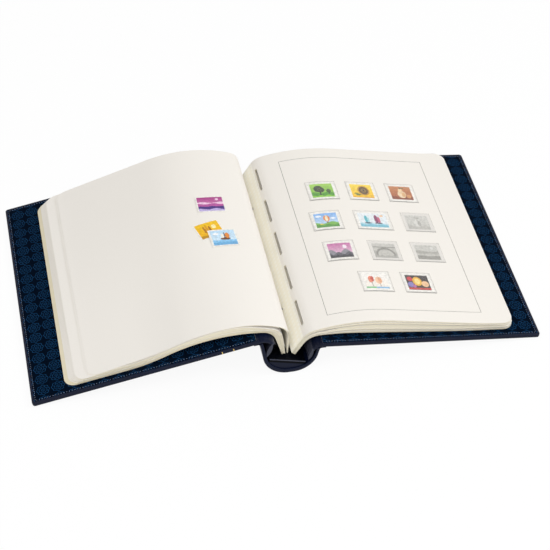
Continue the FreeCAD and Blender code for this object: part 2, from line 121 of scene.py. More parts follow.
def makeLining():
    material, tree, shader, place = startMaterial("rosette_lining")
    repeat = damask["repeat"]
    across, along = covers["width"] / repeat, covers["height"] / repeat
    shift = (0.5 - (covers["width"] - damask["edgeToRosette"]) / repeat % 1, 0.5 - along / 2 % 1, 0.0)
    laid = addNode(tree, "UVMap", {}, uv_map="laidFlat")
    cells = addNode(tree, "Mapping", {0: laid, 1: shift, 3: (across, along, 1.0)})
    part = addNode(tree, "VectorMath", {0: cells}, operation="FRACTION")
    centred = addNode(tree, "VectorMath", {0: part, 1: (0.5, 0.5, 0.0)}, operation="SUBTRACT")
    reach = addNode(tree, "VectorMath", {0: centred}, operation="LENGTH").outputs["Value"]
    axes = addNode(tree, "SeparateXYZ", {0: centred})
    angle = addNode(tree, "Math", {0: axes.outputs[1], 1: axes.outputs[0]}, operation="ARCTAN2")
    turns = addNode(tree, "Math", {0: angle, 1: damask["petals"]}, operation="MULTIPLY")
    petals = addNode(tree, "Math", {0: turns}, operation="COSINE")
    figure = addNode(tree, "Math", {0: reach, 1: 0.0, 2: damask["rings"][-1][2]}, operation="COMPARE")
    for radius, wave, width in damask["rings"]:
        outline = addNode(tree, "Math", {0: petals, 1: wave, 2: radius}, operation="MULTIPLY_ADD")
        ring = addNode(tree, "Math", {0: reach, 1: outline, 2: width}, operation="COMPARE")
        figure = addNode(tree, "Math", {0: figure, 1: ring}, operation="MAXIMUM")
    weave = addNode(tree, "TexNoise", sized(place, damask["thread"], Detail=2.0))
    ground = addNode(tree, "Mix", {0: weave, 6: damask["dark"], 7: damask["light"]}, data_type="RGBA")
    woven = addNode(tree, "Math", {0: figure, 1: weave}, operation="MULTIPLY")
    colour = addNode(tree, "Mix", {0: woven, 6: ground.outputs[2], 7: damask["figure"]}, data_type="RGBA")
    bump = addNode(tree, "Bump", {"Height": woven, "Strength": damask["strength"],
                                  "Distance": damask["depth"] * metre})
    setInputs(tree, shader, {"Base Color": colour.outputs[2], "Roughness": 0.8, "Normal": bump,
                             "Specular IOR Level": 0.01})
    return material


# Papers: one recipe, from the colour of the sheet, its darker fibres and how far apart these lie
def makePaper(name, colour, fibre, fibreSize, roughness, relief):
    material, tree, shader, place = startMaterial(name)
    mottle = addNode(tree, "TexNoise", sized(place, fibreSize, Detail=5.0))
    tone = addNode(tree, "Mix", {0: mottle, 6: fibre, 7: colour}, data_type="RGBA")
    bump = addNode(tree, "Bump", {"Height": mottle, "Strength": relief, "Distance": paperDepth})
    setInputs(tree, shader, {"Base Color": tone.outputs[2], "Roughness": roughness, "Normal": bump, "IOR": 1.45})
    return material


# Linen strip: woven cloth glued along the binding edge of a leaf, cream, threads drawn at 0.9 mm to show
weaving = {"thread": 0.9, "bands": 20, "dark": "#FBF7EA", "light": "#FEFCF5", "strength": 0.15}


def makeLinen():
    material, tree, shader, place = startMaterial("linen_hinge_strip")
    threads = sized(place, weaving["thread"] * weaving["bands"], Distortion=1.0)
    warp = addNode(tree, "TexWave", threads, bands_direction="Y").outputs[1]
    weft = addNode(tree, "TexWave", threads, bands_direction="Z").outputs[1]
    weave = addNode(tree, "Math", {0: warp, 1: weft}, operation="MULTIPLY")
    colour = addNode(tree, "Mix", {0: weave, 6: weaving["dark"], 7: weaving["light"]}, data_type="RGBA")
    bump = addNode(tree, "Bump", {"Height": weave, "Strength": weaving["strength"], "Distance": paperDepth})
    setInputs(tree, shader, {"Base Color": colour.outputs[2], "Roughness": 0.85, "Normal": bump})
    return material


# Stamp paper: thin coated paper, printed; a slight gloss over the ink, colours carried by the sheet itself
inkTone = {"fibre": 0.4, "least": 0.42, "most": 0.6, "brush": 2.2, "strength": (0.35, 0.65, 0.84, 1.1)}


def makeStampPaper():
    material, tree, shader, place = startMaterial("printed_stamp_paper")
    ink = addNode(tree, "Attribute", {}, attribute_name="picture")
    fibre = addNode(tree, "TexNoise", sized(place, inkTone["fibre"], Detail=2.0))
    gloss = addNode(tree, "MapRange", {0: fibre, 3: inkTone["least"], 4: inkTone["most"]})
    brush = addNode(tree, "TexNoise", sized(place, inkTone["brush"], Detail=4.0))
    strength = addNode(tree, "MapRange", {0: brush, **dict(enumerate(inkTone["strength"], 1))})
    toned = addNode(tree, "HueSaturation", {"Color": ink.outputs["Color"], "Value": strength})
    setInputs(tree, shader, {"Base Color": toned, "Roughness": gloss, "IOR": 1.5})
    return material


# Clear film: thin polystyrene, nearly unseen from the front, paler where its cut or welded rim catches the light
smears = {"size": 12.0, "least": 0.12, "most": 0.28}


def makeFilm(name, colour, alpha):
    material, tree, shader, place = startMaterial(name)
    smear = addNode(tree, "TexNoise", sized(place, smears["size"], Detail=2.0))
    gloss = addNode(tree, "MapRange", {0: smear, 3: smears["least"], 4: smears["most"]})
    setInputs(tree, shader, {"Base Color": colour, "Alpha": alpha, "Roughness": gloss, "IOR": 1.55})
    return material


# Metals: rolled and plated steel, turned brass, stamped foil; fine scratches spread the highlight
def makeMetal(name, colour, worn, low, high, grit):
    material, tree, shader, place = startMaterial(name)
    scratch = addNode(tree, "TexNoise", sized(place, grit, Detail=6.0))
    tone = addNode(tree, "Mix", {0: scratch, 6: worn, 7: colour}, data_type="RGBA")
    gloss = addNode(tree, "MapRange", {0: scratch, 3: high, 4: low})
    setInputs(tree, shader, {"Base Color": tone.outputs[2], "Metallic": 1.0, "Roughness": gloss})
    return material


leatherette = makeLeatherette("navy_leatherette", "#050A1B", "#0D1732", 0.14)
# Hinge cloth: the same navy leatherette made lighter grey-navy as a painted highlight, for the hinge flaps and the
# hems of the spine's bed
hingeClothPaintedHighlight = makeLeatherette("hinge_cloth_painted_highlight", "#2B2E3D", "#393C4A", 0.3)
# The bed cloth is navy leatherette darkened to near black as painted shade, for the deep shadow on the spine's
# floor and board ends
bedClothPaintedShade = makeLeatherette("bed_cloth_painted_shade", "#020308", "#05070E", 0.05)
lining = makeLining()
albumPaper = makePaper("ivory_album_card", "#F6F2EB", "#F0EBE3", 0.8, 0.8, 0.12)
creamPaper = makePaper("cream_album_card", "#F3EBD2", "#EBE1C2", 0.8, 0.8, 0.12)
paperEdge = makePaper("cut_card_edge", "#F2EBD5", "#E9E0C6", 0.5, 0.9, 0.15)
linen = makeLinen()
printInk = makePaper("grey_print_ink", "#5E5C55", "#55534D", 0.6, 0.7, 0.1)
stitchThread = makePaper("grey_blue_thread", "#8E97A8", "#646E84", 0.5, 0.7, 0.5)
greyBoard = makePaper("grey_board", "#8B877D", "#6F6B62", 1.5, 0.95, 0.4)
paddingFoam = makePaper("padding_foam", "#D9D3C4", "#BDB6A4", 0.9, 0.95, 0.6)
stampPaper = makeStampPaper()
clearFilm = makeFilm("clear_mount_film", "#FFFFFF", 0.04)
filmRim = makeFilm("mount_film_rim", "#B5B1A7", 0.1)
platedSteel = makeMetal("nickel_plated_steel", "#C9CBCC", "#A9ABAD", 0.22, 0.38, 1.5)
brass = makeMetal("turned_brass", "#D8B766", "#B8954C", 0.25, 0.4, 1.0)
goldFoil = makeMetal("stamped_gold_foil", "#F0D58A", "#D9B45C", 0.28, 0.42, 0.7)
print("materials made")


# Helpers for meshes

def addObject(name, data):
    added = bpy.data.objects.new(name, data)
    scene.collection.objects.link(added)
    return added


def addMesh(name, bm, materials):
    mesh = bpy.data.meshes.new(name)
    bm.to_mesh(mesh)
    bm.free()
    for material in materials:
        mesh.materials.append(material)
    return addObject(name, mesh)


def makePiece(name, bm, materials, body=None, replaced=()):
    bmesh.ops.scale(bm, vec=(metre, metre, metre), verts=bm.verts)
    bmesh.ops.recalc_face_normals(bm, faces=bm.faces)
    piece = addMesh(name, bm, materials)
    piece.data.shade_smooth()
    piece.data.set_sharp_from_angle(angle=radians(sharpAngle))
    if replaced:
        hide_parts(*replaced)
    if body:
        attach(piece, body)
    return piece


def dressNodes(material, *names):
    for name in names:
        nodes[name].data.materials.clear()
        nodes[name].data.materials.append(material)


def spread(first, last, count):  # evenly spaced values after the first, up to the last
    return [first + (last - first) * (step + 1) / count for step in range(count)]


def gridSheet(bm, columns, rows):  # a flat grid with its lines at the given places
    made = bmesh.ops.create_grid(bm, x_segments=len(columns) - 1, y_segments=len(rows) - 1, size=1.0)
    for vert in made["verts"]:
        column = round((vert.co.x + 1) / 2 * (len(columns) - 1))
        row = round((vert.co.y + 1) / 2 * (len(rows) - 1))
        vert.co = (columns[column], rows[row], 0.0)
    return made["verts"]


def moveBy(bm, verts, way):
    bmesh.ops.translate(bm, verts=verts, vec=way)


def vertsIn(items):
    return [item for item in items if isinstance(item, bmesh.types.BMVert)]


def thicken(bm, verts, height):  # draws a flat sheet upwards and returns all its vertices
    faces = list({face for vert in verts for face in vert.link_faces})
    made = bmesh.ops.extrude_face_region(bm, geom=faces)["geom"]
    moveBy(bm, vertsIn(made), (0, 0, height))
    return verts + vertsIn(made)


def roundEdges(bm, edges, size, segments):
    bmesh.ops.bevel(bm, geom=edges, offset=size, affect="EDGES", segments=segments, profile=0.5, material=-1)


def cutAt(bm, place, normal, **options):
    everything = bm.verts[:] + bm.edges[:] + bm.faces[:]
    bmesh.ops.bisect_plane(bm, geom=everything, plane_co=place, plane_no=normal, **options)


def runPoint(run, distance):  # place and heading on a straight run or an arc
    x, z, heading, length, turn = run
    if not turn:
        return x + distance * cos(heading), z + distance * sin(heading), heading
    angle = heading + turn * distance / length
    radius = length / turn
    return x + radius * (sin(angle) - sin(heading)), z - radius * (cos(angle) - cos(heading)), angle


def tracePath(x, z, lean, steps):  # runs and arcs in the XZ plane from lengths and turns in degrees
    heading, path = radians(lean), []
    for length, turn in steps:
        path.append((x, z, heading, length, radians(turn)))
        x, z, heading = runPoint(path[-1], length)
    return path


def pathPoint(path, station):
    for run in path[:-1]:
        if station <= run[3]:
            return runPoint(run, station)
        station -= run[3]
    return runPoint(path[-1], station)


def direction(heading):  # one millimetre along a heading
    return Vector((cos(heading), 0.0, sin(heading)))


def liftFrom(path, station, y, rise, side):  # a point at a height over a path, on the side's upper face
    x, z, heading = pathPoint(path, station)
    return Vector((x - side * rise * sin(heading), y, z + side * rise * cos(heading)))


# Leaves

leaf = {
    "height": 297.0, "width": 253.5, "thick": 0.3, "corner": 12.0, "pitch": 0.9, "restGap": 0.4, "foldLift": 0.3,
    "slotStation": 26.6, "slotCount": 5, "slotPitch": 56.7, "slotLength": 38.6, "slotWidth": 3.2,
    "bulk": 0.76, "bulkShare": 0.86,  # the most a sheet swells to fill its stack, and its share of the room
    "restBulk": 4.5, "restFrom": 46.0, "restReach": 30.0,  # where sheets settle on their stack
    "barAxis": (-1.801, 22.183), "barSlope": -14.47, "barPlaces": (-85.0, 85.0), "keyhole": 2.6, "keyNeck": 1.8,
    "shuffle": (0.3, 2.4), "creamLeaves": 3, "bundleEnds": {-1: (), 1: (2, 5, 8)}, "bundleGap": 0.8,
    "tailSettle": 0.42, "settleStations": (50.0, 140.0), "settleRows": (40.0, -148.5),  # the left stack's low tail
    "slotMargin": 2.0, "bendEnd": 66.0, "bendReach": 8.0, "cuts": (5, 16, 36), "cornerCuts": (0.3, 0.6, 0.85, 1.0),
}
slotRadius = leaf["slotWidth"] / 2
slotStraight = (leaf["slotLength"] - leaf["slotWidth"]) / 2
slotCentres = [(step - (leaf["slotCount"] - 1) / 2) * leaf["slotPitch"] for step in range(leaf["slotCount"])]
wholeLeaf = (0.0, leaf["width"] * 2)
cornerRow = leaf["height"] / 2 - leaf["corner"]
# the lowest and the highest leaf of a side, from the binding: a straight stub, a tight bend and a wide crown
runNames = ("x", "z", "lean", "stub", "bendRadius", "bend", "crownRadius", "crown", "landing", "spare")
leafRuns = {-1: ((-8.1, 18.5, 106.0, 23.2, 16.0, 66.0, 182.0, 32.0, 0.9, 0.0),
                 (-2.1, 18.6, 85.3, 22.0, 15.5, 72.6, 141.0, 40.0, 0.12, -4.0)),
            1: ((6.1, 14.8, 57.0, 16.0, 20.0, 58.0, 285.0, 8.0, 0.06, -4.0),
                (2.4, 18.2, 57.6, 21.5, 20.1, 46.0, 195.0, 24.0, 0.17, 3.0))}
leafFans = {-1: [0.06 * step for step in range(9)] + [0.92, 1.0],
            1: [0.08 * step for step in range(6)] + [0.68 + 0.08 * step for step in range(5)]}
topOrder = len(leafFans[1]) - 1
foldStation = {-1: 47.0, 1: leaf["slotStation"]}
sideNames = {-1: "left", 1: "right"}
sideCovers = {-1: covers["front"], 1: covers["back"]}


def leafPath(side, fan, order):  # one leaf from the binding to beyond its fore-edge, and its width
    run = {name: low + (high - low) * fan for name, low, high in zip(runNames, *leafRuns[side])}
    cover = sideCovers[side]
    steps = [(run["stub"], 0.0),
             (run["bendRadius"] * radians(run["bend"]), -side * run["bend"]),
             (run["crownRadius"] * radians(run["crown"]), -side * run["crown"])]
    x, z, heading = runPoint(tracePath(run["x"], run["z"], run["lean"], steps)[-1], steps[-1][0])
    level = -cover["slope"] if side > 0 else pi + cover["slope"]
    turn = abs(level - heading)
    across = (x - cover["hinge"][0]) * side
    over = across * sin(cover["slope"]) + (z - cover["hinge"][1]) * cos(cover["slope"]) - covers["thick"]
    drop = over - leaf["restGap"] - order * leaf["pitch"]
    steps.append((drop * (1 - run["landing"]) / sin(turn), 0.0))
    steps.append((drop * run["landing"] / (1 - cos(turn)) * turn, (level - heading) * 180 / pi))
    steps.append((leaf["width"], 0.0))
    return tracePath(run["x"], run["z"], run["lean"], steps), leaf["width"] + run["spare"]


leafPaths = {side: [leafPath(side, fan, order) for order, fan in enumerate(leafFans[side])] for side in sideNames}


def sheetRoom(side, order, station):  # how thick a sheet may be at a station, below the next one in the stack
    paths = leafPaths[side]
    if order == topOrder:
        return leaf["thick"]
    x, z, heading = pathPoint(paths[order][0], station)
    nextX, nextZ = pathPoint(paths[order + 1][0], station)[:2]
    room = -side * (nextX - x) * sin(heading) + side * (nextZ - z) * cos(heading)
    settled = min(max((station - leaf["restFrom"]) / leaf["restReach"], 0.0), 1.0)
    most = leaf["bulk"] + (leaf["restBulk"] - leaf["bulk"]) * settled
    filled = room - leaf["bundleGap"] if order in leaf["bundleEnds"][side] else room * leaf["bulkShare"]
    return max(leaf["thick"], min(most, filled))


def easeBetween(ends, value):  # 0 at the first end, 1 at the second, easing in and out
    share = min(max((value - ends[0]) / (ends[1] - ends[0]), 0.0), 1.0)
    return share * share * (3 - 2 * share)


def settleTail(place, station):  # presses the left stack together towards its tail
    x, z, heading = pathPoint(leafPaths[-1][0][0], station)
    upward = Vector((sin(heading), 0.0, -cos(heading)))
    over = (place - Vector((x, place.y, z))).dot(upward)
    share = easeBetween(leaf["settleStations"], station) * easeBetween(leaf["settleRows"], place.y)
    return place - leaf["tailSettle"] * share * over * upward


def leafRows():
    rows = [centre + way * slotStraight for centre in slotCentres for way in (-1, 1)]
    rows += [bar + way * size for bar in leaf["barPlaces"] for way in (-1, 1)
             for size in (leaf["keyhole"], leaf["keyNeck"])]
    rows += [way * (cornerRow + leaf["corner"] * share) for way in (-1, 1) for share in (0.0, *leaf["cornerCuts"])]
    return sorted(rows)


def leafColumns(width, crossing, reach):
    slot, bendEnd, inner = leaf["slotStation"], leaf["bendEnd"], width - leaf["corner"]
    stubCuts, bendCuts, pageCuts = leaf["cuts"]
    columns = [0.0, crossing - reach, crossing + reach]
    columns += spread(columns[-1], slot - slotRadius - leaf["slotMargin"], stubCuts)
    columns += [slot + slotRadius * share for share in (-1.0, -0.7, 0.0, 0.7, 1.0)]
    columns += spread(slot + slotRadius, bendEnd, bendCuts) + spread(bendEnd, inner, pageCuts)
    return columns + [inner + leaf["corner"] * share for share in leaf["cornerCuts"]]


def barCrossing(path):  # the station where a turning bar passes through a leaf's stub, and the reach of its hole
    x, z, heading = path[0][:3]
    slope = radians(leaf["barSlope"])
    offX, offZ = leaf["barAxis"][0] - x, leaf["barAxis"][1] - z
    steepness = sin(heading - slope)
    return (offZ * cos(slope) - offX * sin(slope)) / steepness, leaf["keyhole"] / steepness


def inCutOut(place, crossing, reach):  # true inside a slot or a keyhole of the flat leaf
    if abs(place.x - leaf["slotStation"]) < slotRadius:
        return min(abs(place.y - centre) for centre in slotCentres) < slotStraight
    near = min(abs(place.y - bar) for bar in leaf["barPlaces"])
    inHole = abs(place.x - crossing) < reach and near < leaf["keyhole"]
    return inHole or (place.x < crossing and near < leaf["keyNeck"])


def roundSlotEnd(vert):
    across = vert.co.x - leaf["slotStation"]
    for centre in slotCentres:
        if abs(across) <= slotRadius + touch and abs(abs(vert.co.y - centre) - slotStraight) < touch:
            vert.co.y += copysign(sqrt(max(slotRadius ** 2 - across ** 2, 0.0)), vert.co.y - centre)
            return


def roundPageCorner(vert, width):
    corner = leaf["corner"]
    u = (vert.co.x - width + corner) / corner
    v = (abs(vert.co.y) - cornerRow) / corner
    if u > 0 and v > 0:
        vert.co.x = width - corner + corner * u * sqrt(1 - v * v / 2)
        vert.co.y = copysign(cornerRow + corner * v * sqrt(1 - u * u / 2), vert.co.y)


def makeLeaf(name, side, order, first, last, replaced, body=None):
    path, width = leafPaths[side][order]
    hole = barCrossing(path)
    columns = [column for column in leafColumns(width, *hole) if first <= column <= min(last, width)]
    bm = bmesh.new()
    gridSheet(bm, columns, leafRows())
    cut = [face for face in bm.faces if inCutOut(face.calc_center_median(), *hole)]
    bmesh.ops.delete(bm, geom=cut, context="FACES")
    verts = list(bm.verts)
    for vert in verts:
        roundSlotEnd(vert)
        roundPageCorner(vert, width)
    thicken(bm, verts, 1.0)
    bm.normal_update()
    for face in bm.faces:
        if abs(face.normal.z) < 0.5:
            face.material_index = 1
        elif face.calc_center_median().x < leaf["slotStation"] - leaf["slotWidth"]:
            face.material_index = 2
    most, step = leaf["shuffle"]
    slip = most * sin(step * order + side) if order < topOrder else 0.0
    for vert in bm.verts:
        station, y, share = vert.co
        vert.co = liftFrom(path, station, y + slip, share * sheetRoom(side, order, station), side)
        if side < 0:
            vert.co = settleTail(vert.co, station)
    sheetPaper = creamPaper if side < 0 and order < leaf["creamLeaves"] else albumPaper
    return makePiece(name, bm, (sheetPaper, paperEdge, linen), body, replaced)


def foldEnds(side):  # two points across the fold line, between which a leaf bends
    path = leafPaths[side][-1][0]
    heading = pathPoint(path, foldStation[side])[2]
    place = liftFrom(path, foldStation[side], 0.0, leaf["thick"] + leaf["foldLift"], side)
    reach = leaf["bendReach"] * direction(heading)
    return (place - reach) * metre, (place + reach) * metre


for side, sideName in sideNames.items():
    for order in range(topOrder):
        leafName = "%s_leaf_%02d" % (sideName, order + 1)
        sheet = makeLeaf(leafName + "_sheet", side, order, *wholeLeaf, (leafName, sideName + "_leaf_stubs"))
        foldEnds(side)
        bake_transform(sheet)
blankSheet = makeLeaf("blank_leaf_sheet", -1, topOrder, *wholeLeaf, ("blank_leaf", "left_leaf_stubs"))
foldEnds(-1)
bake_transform(blankSheet)
makeLeaf("printed_leaf_stub", 1, topOrder, 0.0, leaf["slotStation"], ("right_leaf_stubs",), "spine")
makeLeaf("printed_leaf_sheet", 1, topOrder, leaf["slotStation"], wholeLeaf[1], ("printed_leaf",), "printed_leaf")
print("leaves made")


# Printed leaf: frame line, mounts, grey prints and stamps

printed = {
    "frameStations": (54.3, 224.8), "frameHalf": 131.5, "frameLine": 0.42, "frameCuts": 48, "inkLift": 0.02,
    "mountWidth": 34.8, "mountHeight": 33.0, "wideMount": 42.0, "film": 0.08, "room": 0.2, "weld": 1.2,
    "mountLift": 0.05, "rim": 0.4, "stampMargin": 1.3, "stampThick": 0.1, "stampBorder": 3.2, "printMargin": 4.2,
    "printLift": 0.01, "mountCuts": 6,
    "rows": (70.2, 18.0, -34.2, -86.4),
    "columns": ((92.4, 139.0, 186.0), (86.1, 139.8, 192.5), (90.1, 140.6, 190.0), (117.6, 165.1)),
}
printedPath = leafPaths[1][-1][0]


def laySheet(verts, lift):  # wraps a flat sheet on the printed leaf, its own heights kept
    for vert in verts:
        vert.co = liftFrom(printedPath, vert.co.x, vert.co.y, leaf["thick"] + lift + vert.co.z, 1)


def makeFrameLine():
    bm = bmesh.new()
    first, last = printed["frameStations"]
    half, line = printed["frameHalf"], printed["frameLine"]
    columns = [first] + spread(first, last, printed["frameCuts"])
    for low, high in ((-half, -half + line), (half - line, half)):
        laySheet(gridSheet(bm, columns, (low, high)), printed["inkLift"])
    for low, high in ((first, first + line), (last - line, last)):
        laySheet(gridSheet(bm, (low, high), (-half + line, half - line)), printed["inkLift"])
    makePiece("printed_frame_line", bm, (printInk,), "printed_leaf")


makeFrameLine()


# Stamp pictures: a sky from two colours, then shapes laid over it; u runs right and v up from 0 to 1
# disc: centre u, centre v, width, height; hill: height, swell, waves, shift; block: low u, high u, low v, high v
disc, hill, block = "disc", "hill", "block"
pictures = {
    "orchard": ("#A8D65C", "#6FB52E",
        (hill, 0.34, 0.05, 5, 0.4, "#4E9A22"), (disc, 0.34, 0.62, 0.2, 0.24, "#26331C"),
        (disc, 0.44, 0.55, 0.17, 0.2, "#33421F"), (block, 0.37, 0.43, 0.16, 0.45, "#2B2118"),
        (disc, 0.78, 0.45, 0.1, 0.14, "#3C5A1E"), (block, 0.765, 0.795, 0.22, 0.36, "#2B2118"),
        (hill, 0.12, 0.03, 9, 1, "#8CCB3E"), (disc, 0.4, 0.66, 0.05, 0.05, "#5B4A3A")),
    "sunflower": ("#FFE14A", "#F7C50C",
        (disc, 0.58, 0.54, 0.27, 0.36, "#C9962A"), (disc, 0.58, 0.54, 0.21, 0.28, "#5A4420"),
        (disc, 0.58, 0.54, 0.12, 0.16, "#8A6B30"), (disc, 0.58, 0.54, 0.05, 0.07, "#3A2B14"),
        (disc, 0.22, 0.3, 0.1, 0.07, "#8A8A2A"), (disc, 0.3, 0.22, 0.12, 0.06, "#6E7A22"),
        (hill, 0.07, 0.02, 11, 0, "#E8A90A")),
    "pear": ("#C98653", "#A9562A",
        (hill, 0.22, 0.03, 4, 1, "#8A4522"), (disc, 0.52, 0.4, 0.19, 0.27, "#F3D9B4"),
        (disc, 0.5, 0.64, 0.11, 0.2, "#F1D2A6"), (disc, 0.6, 0.38, 0.09, 0.18, "#E0B27E"),
        (block, 0.49, 0.52, 0.8, 0.93, "#4B2A16"), (disc, 0.6, 0.86, 0.09, 0.04, "#7B6A30"),
        (disc, 0.82, 0.26, 0.1, 0.13, "#D79A62")),
    "balloon": ("#7FB4EE", "#D7ECFB",
        (disc, 0.2, 0.8, 0.13, 0.07, "#F7FBFF"), (disc, 0.8, 0.62, 0.11, 0.06, "#F7FBFF"),
        (hill, 0.32, 0.06, 4, 2, "#7DBB4B"), (hill, 0.18, 0.04, 7, 0.5, "#4F9433"),
        (disc, 0.52, 0.62, 0.14, 0.22, "#E88A3C"), (disc, 0.52, 0.62, 0.06, 0.22, "#F6E6C8"),
        (block, 0.49, 0.55, 0.3, 0.38, "#7A4A2A"), (disc, 0.25, 0.24, 0.07, 0.05, "#E7D64A")),
    "regatta": ("#EEF3F6", "#E4EEF2",
        (hill, 0.26, 0.03, 9, 0.3, "#A8D7E4"), (hill, 0.18, 0.03, 8, 1.7, "#7FC3D6"),
        (disc, 0.26, 0.56, 0.06, 0.27, "#58B7C4"), (disc, 0.33, 0.5, 0.04, 0.2, "#A9DDE2"),
        (disc, 0.62, 0.6, 0.07, 0.29, "#8A3A66"), (disc, 0.71, 0.54, 0.05, 0.22, "#C65A7A"),
        (disc, 0.3, 0.29, 0.12, 0.05, "#3B5A6E"), (disc, 0.66, 0.3, 0.14, 0.05, "#4A3350"),
        (disc, 0.84, 0.84, 0.06, 0.08, "#F2C9A0")),
    "ridge": ("#C86BA6", "#F0D3E4",
        (disc, 0.72, 0.74, 0.09, 0.12, "#FBEFF6"), (hill, 0.44, 0.13, 5, 0.6, "#8D8A92"),
        (hill, 0.3, 0.09, 7, 2.4, "#55535C"), (hill, 0.17, 0.04, 12, 0, "#2A2930"),
        (block, 0, 1, 0, 0.06, "#17161B")),
    "tulips": ("#FBF8F2", "#F8EFE4",
        (disc, 0.28, 0.62, 0.1, 0.22, "#E8886A"), (disc, 0.36, 0.66, 0.07, 0.18, "#C9503C"),
        (disc, 0.62, 0.56, 0.15, 0.24, "#F2C7A4"), (disc, 0.68, 0.6, 0.08, 0.18, "#E6A880"),
        (block, 0.295, 0.325, 0.16, 0.45, "#4A2E22"), (block, 0.63, 0.655, 0.16, 0.36, "#6B4A34"),
        (block, 0, 0.45, 0.02, 0.13, "#7FC48A"), (block, 0.45, 1, 0.02, 0.13, "#8FBFE3")),
    "lantern": ("#241B1C", "#3A2A22",
        (disc, 0.48, 0.58, 0.2, 0.3, "#F0B93A"), (disc, 0.48, 0.58, 0.12, 0.2, "#FBE08A"),
        (block, 0.42, 0.54, 0.86, 0.95, "#6B4A2A"), (disc, 0.8, 0.42, 0.16, 0.2, "#F2C79A"),
        (disc, 0.18, 0.74, 0.12, 0.15, "#C8323A"), (disc, 0.16, 0.36, 0.13, 0.18, "#8A7FC0"),
        (disc, 0.3, 0.26, 0.08, 0.1, "#B06AA8"), (block, 0, 1, 0.02, 0.15, "#C23A34")),
    "greyVase": ("#E0DED6", "#D6D4CB",
        (hill, 0.24, 0.03, 5, 0.2, "#C8C5BC"), (disc, 0.5, 0.44, 0.17, 0.24, "#EAE8E1"),
        (disc, 0.56, 0.42, 0.08, 0.19, "#BCB9B0"), (block, 0.45, 0.55, 0.62, 0.8, "#CDCAC2"),
        (disc, 0.5, 0.82, 0.13, 0.05, "#B2AFA5")),
    "greyBridge": ("#DAD7CF", "#C9C6BD",
        (hill, 0.42, 0.07, 4, 1.2, "#B9B6AD"), (disc, 0.5, 0.24, 0.42, 0.46, "#918E84"),
        (disc, 0.5, 0.22, 0.34, 0.36, "#D0CDC4"), (block, 0, 1, 0.7, 0.76, "#9B988E"),
        (hill, 0.16, 0.02, 12, 0, "#B5B2A9")),
    "greyCoast": ("#D4D2C9", "#E2E0D8",
        (hill, 0.58, 0.03, 3, 0.9, "#B5B2A8"), (hill, 0.4, 0.02, 5, 2, "#CFCCC3"),
        (hill, 0.26, 0.03, 4, 0.2, "#9C998F"), (disc, 0.76, 0.8, 0.07, 0.09, "#EFEDE7")),
    "dusk": ("#A83684", "#E296C4",
        (hill, 0.62, 0.04, 4, 0.4, "#F8D0EA"), (hill, 0.52, 0.04, 5, 1.8, "#B9589F"),
        (hill, 0.33, 0.02, 7, 0.2, "#46287A"), (hill, 0.14, 0.04, 5, 1, "#BFAFE2"),
        (disc, 0.78, 0.84, 0.06, 0.08, "#F4CFE6")),
    "wheat": ("#F8C81A", "#F0B206",
        (disc, 0.3, 0.55, 0.05, 0.25, "#B87A1A"), (disc, 0.42, 0.6, 0.05, 0.28, "#D99A1C"),
        (disc, 0.54, 0.52, 0.05, 0.24, "#A86C14"), (disc, 0.74, 0.64, 0.1, 0.14, "#FFF0B0"),
        (hill, 0.16, 0.03, 8, 0, "#C08E10")),
    "harbour": ("#BFE0F8", "#DCF0FB",
        (disc, 0.22, 0.78, 0.12, 0.07, "#FFFFFF"), (hill, 0.34, 0.02, 10, 0, "#8CC8F0"),
        (disc, 0.56, 0.42, 0.2, 0.09, "#6B3E22"), (block, 0.54, 0.57, 0.44, 0.86, "#4A2E1C"),
        (disc, 0.66, 0.64, 0.09, 0.19, "#E58A3C"), (disc, 0.46, 0.62, 0.06, 0.16, "#FBF4E6"),
        (hill, 0.18, 0.02, 12, 1, "#6FAEDC")),
}
stamp = {"cell": 0.5, "toothCells": 3, "notch": 0.35, "looseBorder": 2.0, "paper": "#F6F3EC"}


def inShape(u, v, kind, a, b, c, d):
    if kind == disc:
        return ((u - a) / c) ** 2 + ((v - b) / d) ** 2 < 1
    if kind == hill:
        return v < a + b * sin(c * u * 2 + d)
    return a < u < b and c < v < d


def pictureColour(picture, u, v):
    top, bottom, *shapes = pictures[picture]
    colour = [low + (high - low) * v for low, high in zip(hexLinear(bottom), hexLinear(top))]
    for *shape, shade in shapes:
        if inShape(u, v, *shape):
            colour = hexLinear(shade)
    return colour


def addStamp(bm, picture, width, height, border):  # a flat stamp about the origin; without a border, a bare print
    ink = bm.verts.layers.float_color.get("picture") or bm.verts.layers.float_color.new("picture")
    teeth, cell = stamp["toothCells"], stamp["cell"]
    across = teeth * round(width / cell / teeth)
    along = teeth * round(height / cell / teeth)
    side, half = width / 2, height / 2
    verts = gridSheet(bm, [-side] + spread(-side, side, across), [-half] + spread(-half, half, along))
    for vert in verts:
        u = (vert.co.x + side - border) / (width - 2 * border)
        v = (vert.co.y + half - border) / (height - 2 * border)
        inside = 0 <= u <= 1 and 0 <= v <= 1
        vert[ink] = pictureColour(picture, u, v) if inside else hexLinear(stamp["paper"])
        if border:
            column = round((vert.co.x + side) / width * across)
            row = round((vert.co.y + half) / height * along)
            if column in (0, across) and row % teeth:
                vert.co.x -= copysign(stamp["notch"], vert.co.x)
            if row in (0, along) and column % teeth:
                vert.co.y -= copysign(stamp["notch"], vert.co.y)
    return thicken(bm, verts, printed["stampThick"])


mountPictures = (("orchard", "sunflower", "pear"), ("balloon", "regatta", "greyVase"),
                 ("ridge", "greyBridge", "greyCoast"), ("tulips", "lantern"))


